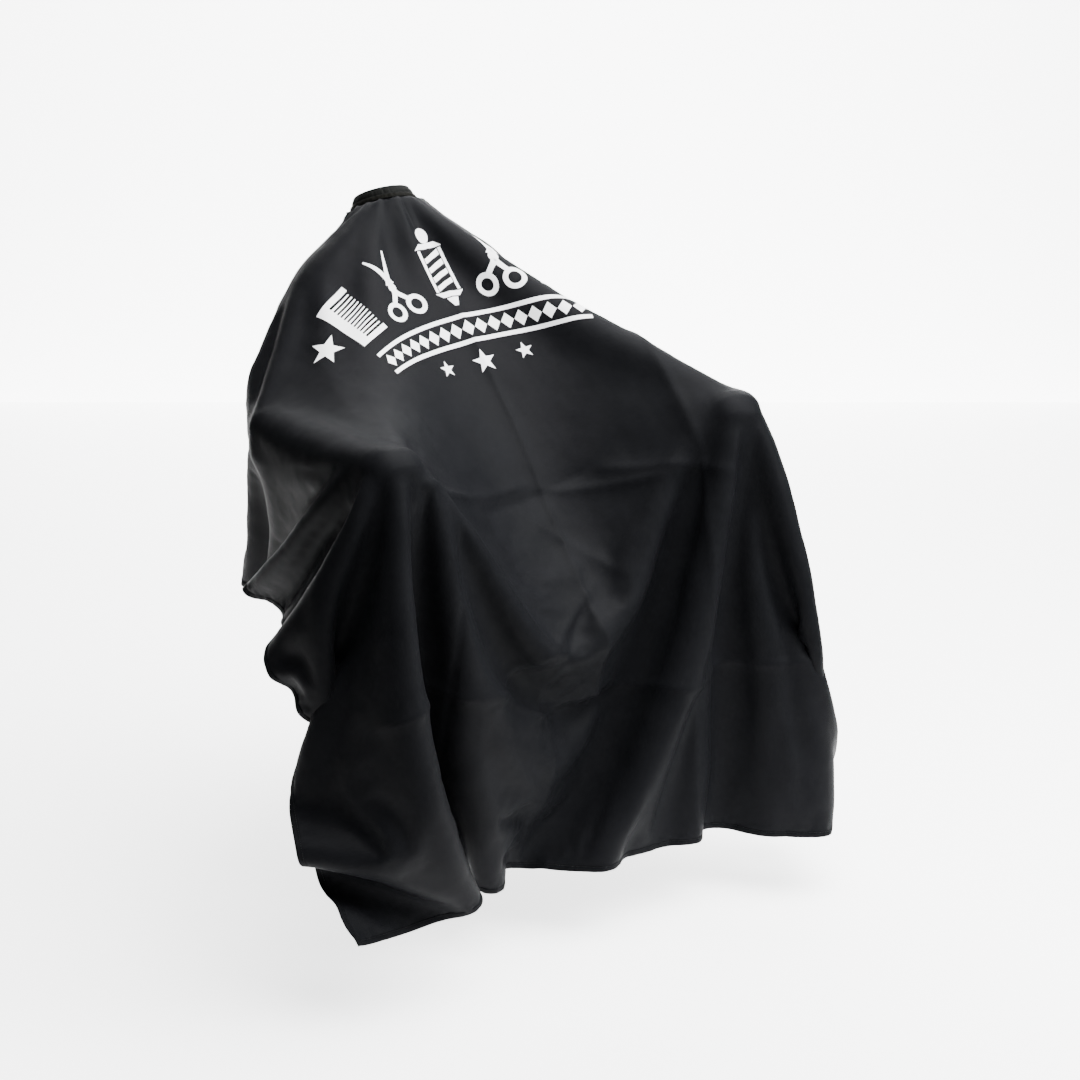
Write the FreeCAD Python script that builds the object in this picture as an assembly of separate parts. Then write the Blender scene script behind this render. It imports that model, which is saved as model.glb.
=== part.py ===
"""Barber cape, draped as it hangs from a neck over two arm rests.

Millimetres. The origin is the centre of the neck opening, +Z is up and -Y is the wearer's front.
Cloth is described twice: by where a point lies on the flat cut sheet (across, along), and by
where that point hangs. "along" is 0 at the neck's centre and grows towards the front hem.
"""
import FreeCAD
import Part
import math
import os

Vector = FreeCAD.Vector

# ---- the flat cut sheet ----
SHEET_HALF_WIDTH = 700.0      # neck centre to either side hem
SHEET_FRONT = 1170.0          # neck centre to the front hem
SHEET_BACK = 220.0            # neck centre to the back hem
BACK_CORNER = 150.0           # length over which each back corner is rounded off
HEM_WIDTH = 9.0               # turned hem, all the way round
FACING_WIDTH = 9.0            # turned edge on either side of the back opening
OPENING_HALF_GAP = 1.5        # half the gap of the back opening
CLOTH = 1.0                   # thickness of the draped panel's solid
HEM = 1.8                     # thickness over the turned hem
STITCH_GAP = 0.4              # between the panel and each turned edge sewn to it

# ---- neck ring and collar ----
NECK_X = 51.0                 # half width of the neck opening at its seam
NECK_Y = 57.0                 # half depth of the neck opening at its seam
NECK_TILT = 20.0              # the ring's front stands higher than its back, degrees
COLLAR_HEIGHT = 22.0
COLLAR_LEAN = 0.45            # how far the collar leans inwards per millimetre of height
LINING = 0.6
INTERLINING = 0.5
COLLAR_CLOTH = 0.9
TAPE_LOW = 1.3                # neck seam tape, from just above the panel
TAPE_HIGH = 8.0
TAPE = 1.1

# ---- snap closure ----
SNAP_COUNT = 5
SNAP_PITCH = 15.0
SNAP_FIRST = 14.0             # from the opening's edge to the first stud, along the band
SNAP_USED = 2                 # the stud that the tab closes on, counted from the opening
SNAP_HEIGHT = 13.0            # height of the snaps' centres on the collar
STUD_FLANGE_R = 5.2
STUD_FLANGE = 0.7
STUD_NECK_R = 1.7
STUD_HEAD_R = 2.0
STUD_RISE = 2.2
BACKING_R = 4.8
BACKING = 0.7
SOCKET_R = 5.2
SOCKET = 1.6
SOCKET_HOLE_R = 2.75
SPRING_WIRE_R = 0.2
SPRING_WIRE_REACH = 1.6       # half the length of each wire across the socket's hole
CAP_R = 6.2
CAP_DOME = 1.6

# ---- closure tab ----
TAB_LOW = 5.0                 # lower and upper edges, measured up the collar
TAB_HIGH = 20.0
TAB_ROOT = -9.0               # along the band from the opening's centre
TAB_CLEAR = 3.4               # gap between the band and the tab, filled by the snap
TAB_CLOTH = 0.7
TAB_INTERLINING = 0.4
TAB_LINING = 0.6
TAB_PAST_SNAP = 9.0

# ---- care label ----
LABEL_WIDTH = 20.0
LABEL_DROP = 38.0
LABEL = 0.6
LABEL_X = 16.0
LABEL_Y = 40.0
LABEL_TOP = -20.5

# Where the sheet hangs: one row per line across the sheet, from the back hem to the front hem.
# Each row holds its place along the sheet and five points from the middle to the right side hem.
ACROSS = [0.0, 200.0, 380.0, 550.0, 730.0]
STATIONS = [
    # behind the neck: down the back of the seat
    (-220.0, [(0, 118, -160), (80, 100, -250), (150, 85, -350), (210, 60, -460), (270, 30, -570)]),
    (-60.0, [(0, 58, -22), (140, 40, -145), (200, 10, -290), (255, -5, -430), (300, -40, -570)]),
    # shoulders
    (100.0, [(0, -85, -20), (190, -85, -100), (265, -90, -250), (310, -100, -410), (345, -120, -570)]),
    # lap, with the side curtains below the arm rests
    (300.0, [(0, -215, -185), (180, -280, -150), (320, -275, -250), (355, -265, -410), (390, -260, -575)]),
    (500.0, [(0, -345, -340), (180, -430, -290), (330, -470, -265), (385, -445, -415), (430, -410, -585)]),
    # over the arm rests' front ends
    (600.0, [(0, -410, -420), (175, -490, -360), (320, -535, -330), (410, -520, -440), (465, -450, -600)]),
    # front curtain
    (750.0, [(0, -500, -510), (190, -525, -490), (325, -590, -465), (370, -530, -540), (410, -520, -670)]),
    (950.0, [(0, -545, -700), (205, -550, -690), (340, -640, -660), (395, -560, -700), (400, -540, -790)]),
    (1140.0, [(0, -550, -880), (205, -590, -870), (350, -650, -845), (420, -600, -860), (420, -610, -915)]),
]


# ---- small helpers ----
def hermite(knots, values, at):
    """Smooth curve through values at uneven knots."""
    last = len(knots) - 1
    i = 0
    while i < last - 1 and at > knots[i + 1]:
        i += 1
    step = knots[i + 1] - knots[i]
    t = (at - knots[i]) / step

    def slope(k):
        a, b = max(k - 1, 0), min(k + 1, last)
        return (values[b] - values[a]) * (1.0 / (knots[b] - knots[a]))

    t2, t3 = t * t, t * t * t
    return (values[i] * (2 * t3 - 3 * t2 + 1) + slope(i) * (step * (t3 - 2 * t2 + t))
            + values[i + 1] * (3 * t2 - 2 * t3) + slope(i + 1) * (step * (t3 - t2)))


def spread(low, high, count):
    """Evenly spaced values, both ends included."""
    return [low + (high - low) * k / (count - 1) for k in range(count)]


TILT = math.radians(NECK_TILT)
RING_SIDE = Vector(1, 0, 0)
RING_FRONT = Vector(0, -math.cos(TILT), math.sin(TILT))
RING_UP = Vector(0, math.sin(TILT), math.cos(TILT))

FULL_ACROSS = [-x for x in reversed(ACROSS[1:])] + ACROSS
FULL_STATIONS = []
for place, half in STATIONS:
    right = [Vector(*p) for p in half]
    left = [Vector(-p.x, p.y, p.z) for p in reversed(right[1:])]
    FULL_STATIONS.append((place, left + right))
ALONG = [place for place, row in FULL_STATIONS]


def sheet_point(across, along):
    """Where a point of the flat sheet hangs."""
    line = [hermite(FULL_ACROSS, row, across) for place, row in FULL_STATIONS]
    hung = hermite(ALONG, line, along)
    reach = math.hypot(across / NECK_X, along / NECK_Y)
    near = RING_SIDE * across + RING_FRONT * along
    blend = min(max((reach - 1.0) / 2.2, 0.0), 1.0)
    blend = blend * blend * (3 - 2 * blend)
    return near * (1 - blend) + hung * blend


def back_edge(across):
    """Place along the sheet of the back hem, with its rounded corners."""
    past = abs(across) - (SHEET_HALF_WIDTH - BACK_CORNER)
    if past <= 0:
        return -SHEET_BACK
    return -SHEET_BACK + BACK_CORNER * (1 - math.cos(0.5 * math.pi * past / BACK_CORNER))


def leaf(point_at, s_values, t_values, low, high):
    """Closed solid between two offsets, low and high, of a curved surface given as a function."""
    tiny = 0.25
    under, over = [], []
    for s in s_values:
        low_row, high_row = [], []
        for t in t_values:
            ds = point_at(s + tiny, t) - point_at(s - tiny, t)
            dt = point_at(s, t + tiny) - point_at(s, t - tiny)
            normal = ds.cross(dt).normalize()
            here = point_at(s, t)
            low_row.append(here + normal * low)
            high_row.append(here + normal * high)
        under.append(low_row)
        over.append(high_row)
    skins = []
    for grid in (under, over):
        skin = Part.BSplineSurface()
        skin.interpolate(grid)
        skins.append(skin)
    first, second = skins
    u0, u1, v0, v1 = first.bounds()
    faces = [first.toShape(), second.toShape()]
    for edge_a, edge_b in ((first.uIso(u0), second.uIso(u0)), (first.uIso(u1), second.uIso(u1)),
                           (first.vIso(v0), second.vIso(v0)), (first.vIso(v1), second.vIso(v1))):
        faces.append(Part.makeRuledSurface(edge_a.toShape(), edge_b.toShape()))
    shell = Part.makeShell(faces)
    shell.sewShape()
    solid = Part.makeSolid(Part.Shell(shell.Faces))
    if solid.Volume < 0:
        solid.reverse()
    return solid


def save(node, *solids):
    """Writes one node, as one solid or as a group of separate solids."""
    shape = solids[0] if len(solids) == 1 else Part.makeCompound(list(solids))
    volume = sum(s.Volume for s in shape.Solids)
    print("%-22s solids %d  valid %s  volume %.1f" % (node, len(shape.Solids), shape.isValid(), volume))
    shape.exportStep("parts/%s.step" % node)


# ---- draped cloth ----
def neck_cutter(grow):
    """Elliptical plug through the neck opening, grown outwards by the given amount."""
    ellipse = Part.Ellipse(RING_FRONT * (NECK_Y + grow), RING_SIDE * (NECK_X + grow), Vector(0, 0, 0))
    wire = Part.Wire([ellipse.toShape()])
    plug = Part.Face(wire).extrude(RING_UP * 60.0)
    plug.translate(RING_UP * -30.0)
    return plug


def sheet_leaf(across_values, start, end, count, thickness):
    """Part of the draped sheet between two edges, each a function of the place across."""
    def point_at(s, t):
        low, high = start(s), end(s)
        return sheet_point(s, low + (high - low) * t / 100.0)

    return leaf(point_at, across_values, spread(0.0, 100.0, count), -0.5 * thickness, 0.5 * thickness)


def make_panel():
    trim = HEM_WIDTH + STITCH_GAP
    side = SHEET_HALF_WIDTH - trim
    panel = sheet_leaf(spread(-side, side, 45), lambda s: back_edge(s) + trim,
                       lambda s: SHEET_FRONT - trim, 37, CLOTH)
    panel = panel.cut(neck_cutter(0.0))
    half = OPENING_HALF_GAP + FACING_WIDTH + STITCH_GAP
    slot = Part.makeBox(2 * half, 200.0, 320.0, Vector(-half, 30.0, -280.0))
    panel = panel.cut(slot)
    save("cape_panel", max(panel.Solids, key=lambda s: s.Volume))


def make_hems():
    side = SHEET_HALF_WIDTH
    inner = side - HEM_WIDTH
    front = SHEET_FRONT
    save("hem_front", sheet_leaf(spread(-inner, inner, 45), lambda s: front - HEM_WIDTH,
                                 lambda s: front, 4, HEM))
    for name, sign in (("left", -1), ("right", 1)):
        edges = sorted((sign * inner, sign * side))
        save("hem_side_" + name, sheet_leaf(spread(edges[0], edges[1], 4), back_edge,
                                            lambda s: front, 37, HEM))
        edges = sorted((sign * (OPENING_HALF_GAP + FACING_WIDTH), sign * inner))
        save("hem_back_" + name, sheet_leaf(spread(edges[0], edges[1], 25), back_edge,
                                            lambda s: back_edge(s) + HEM_WIDTH, 4, HEM))
        edges = sorted((sign * OPENING_HALF_GAP, sign * (OPENING_HALF_GAP + FACING_WIDTH)))
        save("opening_facing_" + name, sheet_leaf(spread(edges[0], edges[1], 4), back_edge,
                                                  lambda s: -NECK_Y - 1.0, 9, HEM))


# ---- collar ----
def band_turn(distance, height):
    """Angle from the back of the neck to a distance along the band, to the right if positive."""
    across, depth = NECK_X - COLLAR_LEAN * height, NECK_Y - COLLAR_LEAN * height
    steps = 400
    angle, walked = 0.0, 0.0
    for k in range(steps):
        if walked >= abs(distance):
            break
        angle += math.pi / steps
        walked += math.hypot(across * math.cos(angle), depth * math.sin(angle)) * math.pi / steps
    return math.copysign(angle, distance)


def band_point(angle, height):
    """Point of the collar's outer face. The angle is 0 at the back and grows to the right."""
    across, depth = NECK_X - COLLAR_LEAN * height, NECK_Y - COLLAR_LEAN * height
    return (RING_SIDE * (across * math.sin(angle)) - RING_FRONT * (depth * math.cos(angle))
            + RING_UP * height)


def band_outward(angle, height):
    """Unit direction out of the collar's outer face."""
    tiny = 0.01
    round_it = band_point(angle + tiny, height) - band_point(angle - tiny, height)
    up_it = band_point(angle, height + tiny) - band_point(angle, height - tiny)
    return up_it.cross(round_it).normalize()


def band_leaf(start, end, low_edge, high_edge, inside, outside, count):
    """Strip of the band between two angles, two heights and two distances out of its outer face."""
    def point_at(s, t):
        return band_point(t / 100.0, s)

    turns = spread(100.0 * start, 100.0 * end, count)
    return leaf(point_at, spread(low_edge, high_edge, 4), turns, inside, outside)


def make_collar():
    gap = band_turn(OPENING_HALF_GAP, 0.0)
    ends = (gap, 2 * math.pi - gap)
    inner = -(LINING + INTERLINING + COLLAR_CLOTH)
    layers = (("collar_lining", 0.4, COLLAR_HEIGHT - 0.4, inner, inner + LINING),
              ("collar_interlining", 1.0, COLLAR_HEIGHT - 1.5, inner + LINING, -COLLAR_CLOTH),
              ("collar_band", 0.0, COLLAR_HEIGHT, -COLLAR_CLOTH, 0.0))
    for node, low_edge, high_edge, inside, outside in layers:
        save(node, band_leaf(ends[0], ends[1], low_edge, high_edge, inside, outside, 41))
    save("neck_seam_tape", band_leaf(ends[0], ends[1], TAPE_LOW, TAPE_HIGH, 0.0, TAPE, 41))


# ---- snaps ----
def disc(centre, axis, radius, thickness):
    return Part.makeCylinder(radius, thickness, centre, axis)


def make_studs():
    studs, backings = [], []
    wall = LINING + INTERLINING + COLLAR_CLOTH
    for k in range(SNAP_COUNT):
        turn = band_turn(OPENING_HALF_GAP + SNAP_FIRST + k * SNAP_PITCH, SNAP_HEIGHT)
        out = band_outward(turn, SNAP_HEIGHT)
        foot = band_point(turn, SNAP_HEIGHT) + out * 0.05
        stud = disc(foot, out, STUD_FLANGE_R, STUD_FLANGE)
        stud = stud.fuse(disc(foot, out, STUD_NECK_R, STUD_RISE))
        widest = foot + out * (STUD_RISE - 0.4)
        stud = stud.fuse(Part.makeCone(STUD_NECK_R, STUD_HEAD_R, 0.8, widest - out * 0.8, out))
        stud = stud.fuse(Part.makeCone(STUD_HEAD_R, STUD_NECK_R - 0.4, 0.9, widest, out))
        studs.append(stud.removeSplitter())
        behind = band_point(turn, SNAP_HEIGHT) - out * (wall + 0.25 + BACKING)
        washer = disc(behind, out, BACKING_R, BACKING)
        backings.append(washer.cut(disc(behind - out, out, STUD_NECK_R, 4.0)))
    save("snap_studs", *studs)
    save("snap_backings", *backings)


def make_tab():
    used = OPENING_HALF_GAP + SNAP_FIRST + (SNAP_USED - 1) * SNAP_PITCH
    start = band_turn(TAB_ROOT, SNAP_HEIGHT)
    end = band_turn(used + TAB_PAST_SNAP, SNAP_HEIGHT)
    inside = TAB_CLEAR
    layers = (("tab_lining", 0.3, TAB_LINING), ("tab_interlining", 0.9, TAB_INTERLINING),
              ("tab_cloth", 0.0, TAB_CLOTH))
    for node, inset, thickness in layers:
        save(node, band_leaf(start, end, TAB_LOW + inset, TAB_HIGH - inset, inside, inside + thickness, 13))
        inside += thickness
    turn = band_turn(used, SNAP_HEIGHT)
    out = band_outward(turn, SNAP_HEIGHT)
    seat = band_point(turn, SNAP_HEIGHT) + out * (TAB_CLEAR - SOCKET - 0.3)
    socket = disc(seat, out, SOCKET_R, SOCKET).cut(disc(seat - out, out, SOCKET_HOLE_R, SOCKET + 2.0))
    along = RING_UP.cross(out).normalize()
    across = out.cross(along)
    wires = []
    for sign in (-1, 1):
        start_at = (seat + out * (0.5 * SOCKET) + across * (sign * (STUD_HEAD_R + SPRING_WIRE_R + 0.06))
                    - along * SPRING_WIRE_REACH)
        wires.append(Part.makeCylinder(SPRING_WIRE_R, 2 * SPRING_WIRE_REACH, start_at, along))
        socket = socket.cut(Part.makeCylinder(SPRING_WIRE_R + 0.05, 2 * SPRING_WIRE_REACH + 0.2,
                                              start_at - along * 0.1, along))
    save("snap_socket", socket)
    save("snap_spring", *wires)
    face = band_point(turn, SNAP_HEIGHT) + out * (inside + 0.05)
    ball_r = (CAP_R * CAP_R + CAP_DOME * CAP_DOME) / (2 * CAP_DOME)
    ball = Part.makeSphere(ball_r, face - out * (ball_r - CAP_DOME))
    save("snap_cap", ball.common(disc(face, out, CAP_R + 1, CAP_DOME + 1)))


# ---- care label ----
def make_label():
    low = Vector(LABEL_X - 0.5 * LABEL_WIDTH, LABEL_Y, LABEL_TOP - LABEL_DROP)
    leaf_solid = Part.makeBox(LABEL_WIDTH, LABEL, LABEL_DROP, low)
    upright = [e for e in leaf_solid.Edges if abs(e.Length - LABEL) < 1e-6 and e.CenterOfMass.z < LABEL_TOP - 1]
    save("care_label", leaf_solid.makeFillet(2.0, upright))


if __name__ == "__main__":
    os.makedirs("parts", exist_ok=True)
    make_panel()
    make_hems()
    make_collar()
    make_studs()
    make_tab()
    make_label()
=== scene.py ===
"""Looks of a draped barber cape: cloth, hem, collar, snaps, stitches, print, floor, light, camera.

Metres, in the row's own frame: the origin is the centre of the neck opening, +Z is up and -Y is
the wearer's front. A place on the flat cut sheet is (u, v): u runs across it from the middle,
v runs along it from the neck's centre towards the front hem.
"""
import math

import bmesh
import bpy
import numpy as np
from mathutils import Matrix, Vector


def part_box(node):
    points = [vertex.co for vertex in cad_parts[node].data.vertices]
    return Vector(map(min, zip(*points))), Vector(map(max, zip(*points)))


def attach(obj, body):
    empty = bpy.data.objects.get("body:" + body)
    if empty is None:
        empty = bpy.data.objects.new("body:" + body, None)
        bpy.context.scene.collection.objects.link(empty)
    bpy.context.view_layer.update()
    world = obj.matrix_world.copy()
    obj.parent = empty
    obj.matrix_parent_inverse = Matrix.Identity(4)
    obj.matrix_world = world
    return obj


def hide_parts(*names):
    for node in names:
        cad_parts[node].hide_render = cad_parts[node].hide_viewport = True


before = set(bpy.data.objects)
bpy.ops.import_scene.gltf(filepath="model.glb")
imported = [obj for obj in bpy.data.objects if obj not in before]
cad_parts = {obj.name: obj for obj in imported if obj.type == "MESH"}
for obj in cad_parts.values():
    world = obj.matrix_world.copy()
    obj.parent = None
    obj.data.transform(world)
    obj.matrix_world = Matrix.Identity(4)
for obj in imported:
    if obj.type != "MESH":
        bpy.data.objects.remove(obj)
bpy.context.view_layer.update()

# ---- the flat sheet ----
HALF_WIDTH = 0.700
FRONT = 1.170
BACK = 0.220
CORNER = 0.150                # radius of the two back corners
SLIT = 0.0015                 # half the gap of the back opening
NECK_X = 0.051                # half width and half depth of the neck opening
NECK_Y = 0.057
NECK_ROUND = 0.5 * (NECK_X + NECK_Y)
TILT = math.radians(20.0)     # the front of the ring stands higher than its back
SHEET_THICK = 0.0006
HEM_WIDTH = 0.009
HEM_THICK = 0.0022
HEM_STITCH = HEM_WIDTH - 0.0018

RING_SIDE = np.array([1.0, 0.0, 0.0])
RING_FRONT = np.array([0.0, -math.cos(TILT), math.sin(TILT)])
RING_UP = np.array([0.0, math.sin(TILT), math.cos(TILT)])

# ---- how the cloth falls ----
COARSE = 0.020                # grid steps of the two passes and of the finished mesh
FINE = 0.010
MESH = 0.005
COARSE_STEPS = 1200
SOFT_STEPS = 220              # the last steps, in which the hands only steady the cloth
FINE_STEPS = 220
TIME_STEP = 0.0016
DRAG = 3.0
SHEAR = 0.9
BEND_NEAR = 0.05
BEND_FAR = 0.02
FRICTION = 1.0
EASE = 0.078                  # how widely the bends over the chest are spread
TOP_SPEED = 3.0
SKIN = 0.004                  # how far the cloth's middle stays from what it lies on
HAND = 0.05                   # size of the patch a hand holds
PULL_FIRM = 195.0             # how hard it pulls, in m/s2
PULL_SOFT = 35.0

# Where the sheet starts from, thrown over the arm rests: rows along the sheet, points across it.
START_V = [-0.25, 0.0, 0.30, 0.585, 0.74, 1.18]
START_U = [0.0, 0.38, 0.76]
START = [
    [(0, 0.082, -0.208), (0.30, 0.042, -0.308), (0.34, -0.008, -0.588)],
    [(0, 0, 0), (0.27, -0.078, -0.168), (0.36, -0.128, -0.528)],
    [(0, -0.238, -0.208), (0.315, -0.298, -0.218), (0.40, -0.278, -0.608)],
    [(0, -0.418, -0.388), (0.315, -0.532, -0.251), (0.45, -0.428, -0.678)],
    [(0, -0.496, -0.502), (0.325, -0.548, -0.388), (0.43, -0.478, -0.728)],
    [(0, -0.468, -0.940), (0.28, -0.578, -0.888), (0.40, -0.618, -0.888)],
]
THROWN_ASIDE = -0.04          # the sheet lies this much further over one arm rest

# Places of the sheet that hands hold, and where they bring them: (u, v), place.
PULLS = [
    ((-HALF_WIDTH, FRONT), (-0.39, -0.578, -0.864)),
    ((-HALF_WIDTH, FRONT - 0.15), (-0.43, -0.498, -0.768)),
    ((-HALF_WIDTH, FRONT - 0.30), (-0.451, -0.408, -0.735)),
    ((-HALF_WIDTH, 0.67), (-0.399, -0.408, -0.540)),
    ((-HALF_WIDTH, 0.55), (-0.362, -0.348, -0.560)),
    ((-HALF_WIDTH, 0.43), (-0.360, -0.270, -0.575)),
    ((-HALF_WIDTH, 0.28), (-0.325, -0.188, -0.523)),
    ((-HALF_WIDTH + 0.01, 0.18), (-0.305, -0.138, -0.528)),
    ((-0.593, -0.02), (-0.225, 0.007, -0.468)),
    ((-0.45, 0.04), (-0.245, -0.028, -0.313)),
    ((-0.55, 0.14), (-0.295, -0.118, -0.408)),
    ((-0.51, FRONT), (-0.21, -0.578, -0.880)),
    ((-0.41, FRONT), (-0.25, -0.518, -0.883)),
    ((-0.29, FRONT), (-0.21, -0.473, -0.888)),
    ((-0.13, FRONT), (-0.12, -0.498, -0.908)),
    ((0.0, FRONT), (-0.036, -0.513, -0.908)),
    ((0.14, FRONT), (0.093, -0.546, -0.908)),
    ((0.27, FRONT), (0.204, -0.553, -0.908)),
    ((0.39, FRONT), (0.285, -0.588, -0.916)),
    ((0.54, FRONT), (0.411, -0.628, -0.928)),
    ((0.62, FRONT), (0.40, -0.538, -0.908)),
    ((HALF_WIDTH, FRONT), (0.405, -0.458, -0.888)),
    ((0.50, 0.85), (0.366, -0.598, -0.633)),
    ((HALF_WIDTH, 0.75), (0.42, -0.538, -0.608)),
    ((HALF_WIDTH, 0.50), (0.40, -0.368, -0.578)),
    ((HALF_WIDTH, 0.10), (0.28, -0.128, -0.538)),
]


def unit(a):
    return a / np.maximum(np.linalg.norm(a, axis=-1, keepdims=True), 1e-12)


def smooth(x):
    x = np.clip(x, 0.0, 1.0)
    return x * x * (3 - 2 * x)


# ---- smooth reading of a grid ----
def read_row(values, old, new):
    """Reads values, known at even places old, at places new along the first axis.
    The curve is smooth inside and straight beyond the ends."""
    step = old[1] - old[0]
    q = (np.asarray(new) - old[0]) / step
    i = np.clip(np.floor(q).astype(int), 0, len(old) - 2)
    wide = np.concatenate([2 * values[:1] - values[1:2], values, 2 * values[-1:] - values[-2:-1]])
    t = np.clip(q - i, 0, 1).reshape((-1,) + (1,) * (values.ndim - 1))
    a, b, c, d = wide[i], wide[i + 1], wide[i + 2], wide[i + 3]
    beyond = (q - i).reshape(t.shape) - t
    return (b + 0.5 * t * (c - a + t * (2 * a - 5 * b + 4 * c - d + t * (3 * (b - c) + d - a)))
            + beyond * (c - b))


def read_grid(values, old_v, old_u, new_v, new_u):
    rows = read_row(values, old_v, new_v)
    return np.swapaxes(read_row(np.swapaxes(rows, 0, 1), old_u, new_u), 0, 1)


def uneven_row(values, old, new):
    """A smooth curve through values at uneven places."""
    old = np.asarray(old)
    slope = np.gradient(values, old, axis=0)
    i = np.clip(np.searchsorted(old, new, side="right") - 1, 0, len(old) - 2)
    gap = old[i + 1] - old[i]
    shape = (-1,) + (1,) * (values.ndim - 1)
    t = np.clip((new - old[i]) / gap, 0, 1).reshape(shape)
    gap = gap.reshape(shape)
    t2, t3 = t * t, t * t * t
    return ((2 * t3 - 3 * t2 + 1) * values[i] + (t3 - 2 * t2 + t) * gap * slope[i]
            + (3 * t2 - 2 * t3) * values[i + 1] + (t3 - t2) * gap * slope[i + 1])


# ---- what the cloth lies on ----
def round_box(q, half, radius):
    d = np.abs(q) - (half - radius)
    return np.linalg.norm(np.maximum(d, 0), axis=-1) + np.minimum(d.max(-1), 0) - radius


def round_slab(q, half, outline, edge):
    """A slab whose outline in XZ has large round corners and whose rim is rounded too."""
    d = np.abs(q[..., [0, 2]]) - (half[[0, 2]] - outline)
    flat = np.linalg.norm(np.maximum(d, 0), axis=-1) + np.minimum(d.max(-1), 0) - outline + edge
    deep = np.abs(q[..., 1]) - half[1] + edge
    return np.hypot(np.maximum(flat, 0), np.maximum(deep, 0)) + np.minimum(np.maximum(flat, deep), 0) - edge


def support(x):
    """Distance to the seat's back, its two arm rests and its base."""
    lean = math.radians(-18.0)
    turn = np.array([[1, 0, 0], [0, math.cos(lean), -math.sin(lean)], [0, math.sin(lean), math.cos(lean)]])
    half = np.array([0.23, 0.055, 0.265])
    back = round_slab((x - np.array([0, -0.103, -0.271])) @ turn, half, 0.22, 0.05)
    side = np.stack([np.abs(x[..., 0]), x[..., 1], x[..., 2]], -1)
    pad = round_box(side - np.array([0.29, -0.343, -0.293]), np.array([0.04, 0.185, 0.05]), 0.032)
    post = round_box(side - np.array([0.25, -0.323, -0.508]), np.array([0.02, 0.135, 0.22]), 0.02)
    seat = round_box(x - np.array([0, -0.213, -0.798]), np.array([0.25, 0.135, 0.09]), 0.05)
    base = round_box(x - np.array([0, -0.248, -0.708]), np.array([0.2, 0.2, 0.2]), 0.05)
    return np.minimum.reduce([back, pad, post, seat, base])


class Field:
    CELL = 0.01

    def __init__(self):
        self.low = np.array([-0.42, -0.83, -0.96])
        self.count = np.array([85, 111, 111])
        axes = [self.low[k] + self.CELL * np.arange(self.count[k]) for k in range(3)]
        far = support(np.stack(np.meshgrid(*axes, indexing="ij"), -1))
        self.table = np.concatenate([far[..., None], unit(np.stack(np.gradient(far, self.CELL), -1))],
                                    -1).astype(np.float32).reshape(-1, 4)

    def near(self, x):
        q = (x - self.low) / self.CELL
        i = np.clip(q.astype(int), 0, self.count - 2)
        f = np.clip(q - i, 0, 1)
        flat = (i[..., 0] * self.count[1] + i[..., 1]) * self.count[2] + i[..., 2]
        found = 0
        for a in (0, 1):
            for b in (0, 1):
                for c in (0, 1):
                    share = (np.abs(1 - a - f[..., 0]) * np.abs(1 - b - f[..., 1])
                             * np.abs(1 - c - f[..., 2]))
                    found = found + share[..., None] * self.table[
                        flat + (a * self.count[1] + b) * self.count[2] + c]
        return found[..., 0], unit(found[..., 1:])


# ---- the falling cloth ----
def neck_reach(u, v):
    """1 on the neck opening's edge, growing outwards."""
    return np.hypot(u / NECK_X, v / NECK_Y)


def corner_reach(u, v):
    """Distance outside the rounded back corners, negative inside them."""
    du = np.abs(u) - (HALF_WIDTH - CORNER)
    dv = (CORNER - BACK) - v
    inside = (du <= 0) | (dv <= 0)
    return np.where(inside, -1.0, np.hypot(du, dv) - CORNER)


def on_ring_plane(u, v):
    return u[..., None] * RING_SIDE + v[..., None] * RING_FRONT


def thrown(u, v):
    """Where the sheet starts from."""
    half = np.array(START, float)
    mirrored = half[:, :0:-1] * [-1, 1, 1]
    rows = uneven_row(np.concatenate([mirrored, half], 1), START_V, v[:, 0])
    places = [-x for x in START_U[:0:-1]] + START_U
    shifted = u - THROWN_ASIDE * np.clip(v / 0.6, 0, 1)
    hung = np.stack([uneven_row(rows[j], places, shifted[j]) for j in range(len(rows))])
    share = smooth((np.hypot(u, v) - 0.06) / 0.10)[..., None]
    return on_ring_plane(u, v) * (1 - share) + hung * share


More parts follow.
